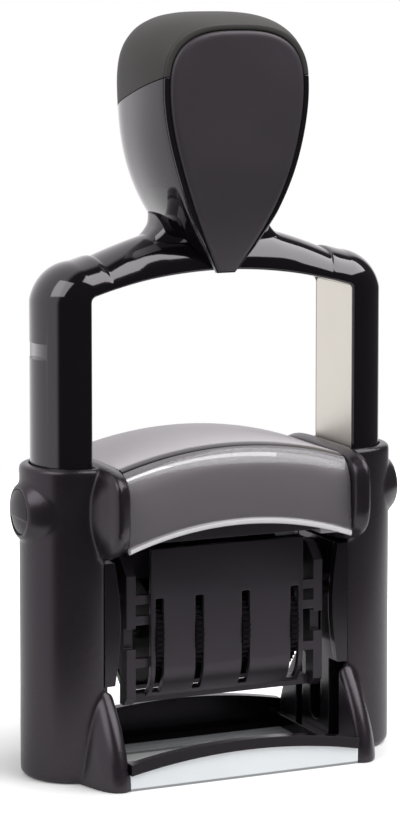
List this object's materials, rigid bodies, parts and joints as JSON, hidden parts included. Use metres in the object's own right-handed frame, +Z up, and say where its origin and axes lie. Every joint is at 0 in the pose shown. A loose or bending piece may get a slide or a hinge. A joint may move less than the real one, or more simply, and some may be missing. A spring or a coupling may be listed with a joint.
{
  "type": "date stamp",
  "caption": "Self-inking date stamp: a sprung handle bow with a knob flips a date unit from its ink pad to the paper; setting wheels, lock buttons and a pull-out pad tray.",
  "frame": {"origin": "centre of the footprint, on the paper plane", "axes": "+Z up along the handle's travel, +X across the towers, +Y to the rear where the pad tray pulls out"},
  "size_m": [0.0764, 0.035, 0.1379],
  "materials": {
    "shell_black": "matte moulded plastic",
    "guide_black": "semi-gloss plastic",
    "clear": "clear moulded plastic",
    "roof_grey": "satin grey plastic",
    "card_grey": "plain card",
    "spring_steel": "drawn steel",
    "button_black": "matte plastic",
    "tray_black": "matte plastic",
    "ink_felt": "inked felt",
    "bow_black": "gloss plastic",
    "strip_steel": "satin steel",
    "cap_soft": "soft-touch grip",
    "plate_grey": "matte plastic",
    "unit_black": "satin plastic",
    "band_rubber": "moulded rubber",
    "wheel_grey": "matte plastic"
  },
  "bodies": {
    "frame": {"side_shell_left": "shell_black", "side_shell_right": "shell_black", "guide_plate_left": "guide_black", "guide_plate_right": "guide_black", "base_frame": "guide_black", "base_window": "clear", "pad_bridge": "roof_grey", "index_lens": "clear", "index_card": "card_grey", "return_spring_left": "spring_steel", "return_spring_right": "spring_steel"},
    "handle": {"yoke": "bow_black", "steel_strip_left": "strip_steel", "steel_strip_right": "strip_steel", "knob_core": "bow_black", "knob_cap": "cap_soft", "knob_plate": "plate_grey"},
    "date_unit": {"rotor_frame": "unit_black", "date_cover_front": "unit_black", "date_cover_rear": "unit_black", "type_bridge": "unit_black", "wheel_shaft": "spring_steel", "pivot_pin_left": "spring_steel", "pivot_pin_right": "spring_steel", "cam_pin_left": "spring_steel", "cam_pin_right": "spring_steel", "date_band_1": "band_rubber", "date_band_2": "band_rubber", "date_band_3": "band_rubber", "date_band_4": "band_rubber"},
    "pad_drawer": {"pad_tray": "tray_black", "ink_pad": "ink_felt"},
    "wheel_1": {"thumb_wheel_1": "wheel_grey"},
    "wheel_2": {"thumb_wheel_2": "wheel_grey"},
    "wheel_3": {"thumb_wheel_3": "wheel_grey"},
    "wheel_4": {"thumb_wheel_4": "wheel_grey"},
    "button_left": {"lock_button_left": "button_black"},
    "button_right": {"lock_button_right": "button_black"}
  },
  "joints": [
    {"name": "handle_press", "type": "slide", "parent": "frame", "child": "handle", "axis": [0, 0, -1], "range_m": [0, 0.029], "stiffness_N_per_m": 500, "springref_m": -0.014, "deforming": ["return_spring_left", "return_spring_right"]},
    {"name": "date_flip", "type": "hinge", "parent": "handle", "child": "date_unit", "pos_m": [0, 0, 0.0357], "axis": [1, 0, 0], "range_deg": [0, 180]},
    {"name": "wheel_turn_1", "type": "hinge", "parent": "date_unit", "child": "wheel_1", "pos_m": [0, 0, 0.025], "axis": [1, 0, 0], "continuous": true},
    {"name": "wheel_turn_2", "type": "hinge", "parent": "date_unit", "child": "wheel_2", "pos_m": [0, 0, 0.025], "axis": [1, 0, 0], "continuous": true},
    {"name": "wheel_turn_3", "type": "hinge", "parent": "date_unit", "child": "wheel_3", "pos_m": [0, 0, 0.025], "axis": [1, 0, 0], "continuous": true},
    {"name": "wheel_turn_4", "type": "hinge", "parent": "date_unit", "child": "wheel_4", "pos_m": [0, 0, 0.025], "axis": [1, 0, 0], "continuous": true},
    {"name": "lock_left", "type": "slide", "parent": "frame", "child": "button_left", "axis": [1, 0, 0], "range_m": [0, 0.0012], "stiffness_N_per_m": 400, "springref_m": -0.001},
    {"name": "lock_right", "type": "slide", "parent": "frame", "child": "button_right", "axis": [-1, 0, 0], "range_m": [0, 0.0012], "stiffness_N_per_m": 400, "springref_m": -0.001},
    {"name": "pad_pull", "type": "slide", "parent": "frame", "child": "pad_drawer", "axis": [0, 1, 0], "range_m": [0, 0.045]}
  ],
  "couplings": [
    {"joint": "date_flip", "follows": "handle_press", "rad_per_m": 108.33}
  ]
}
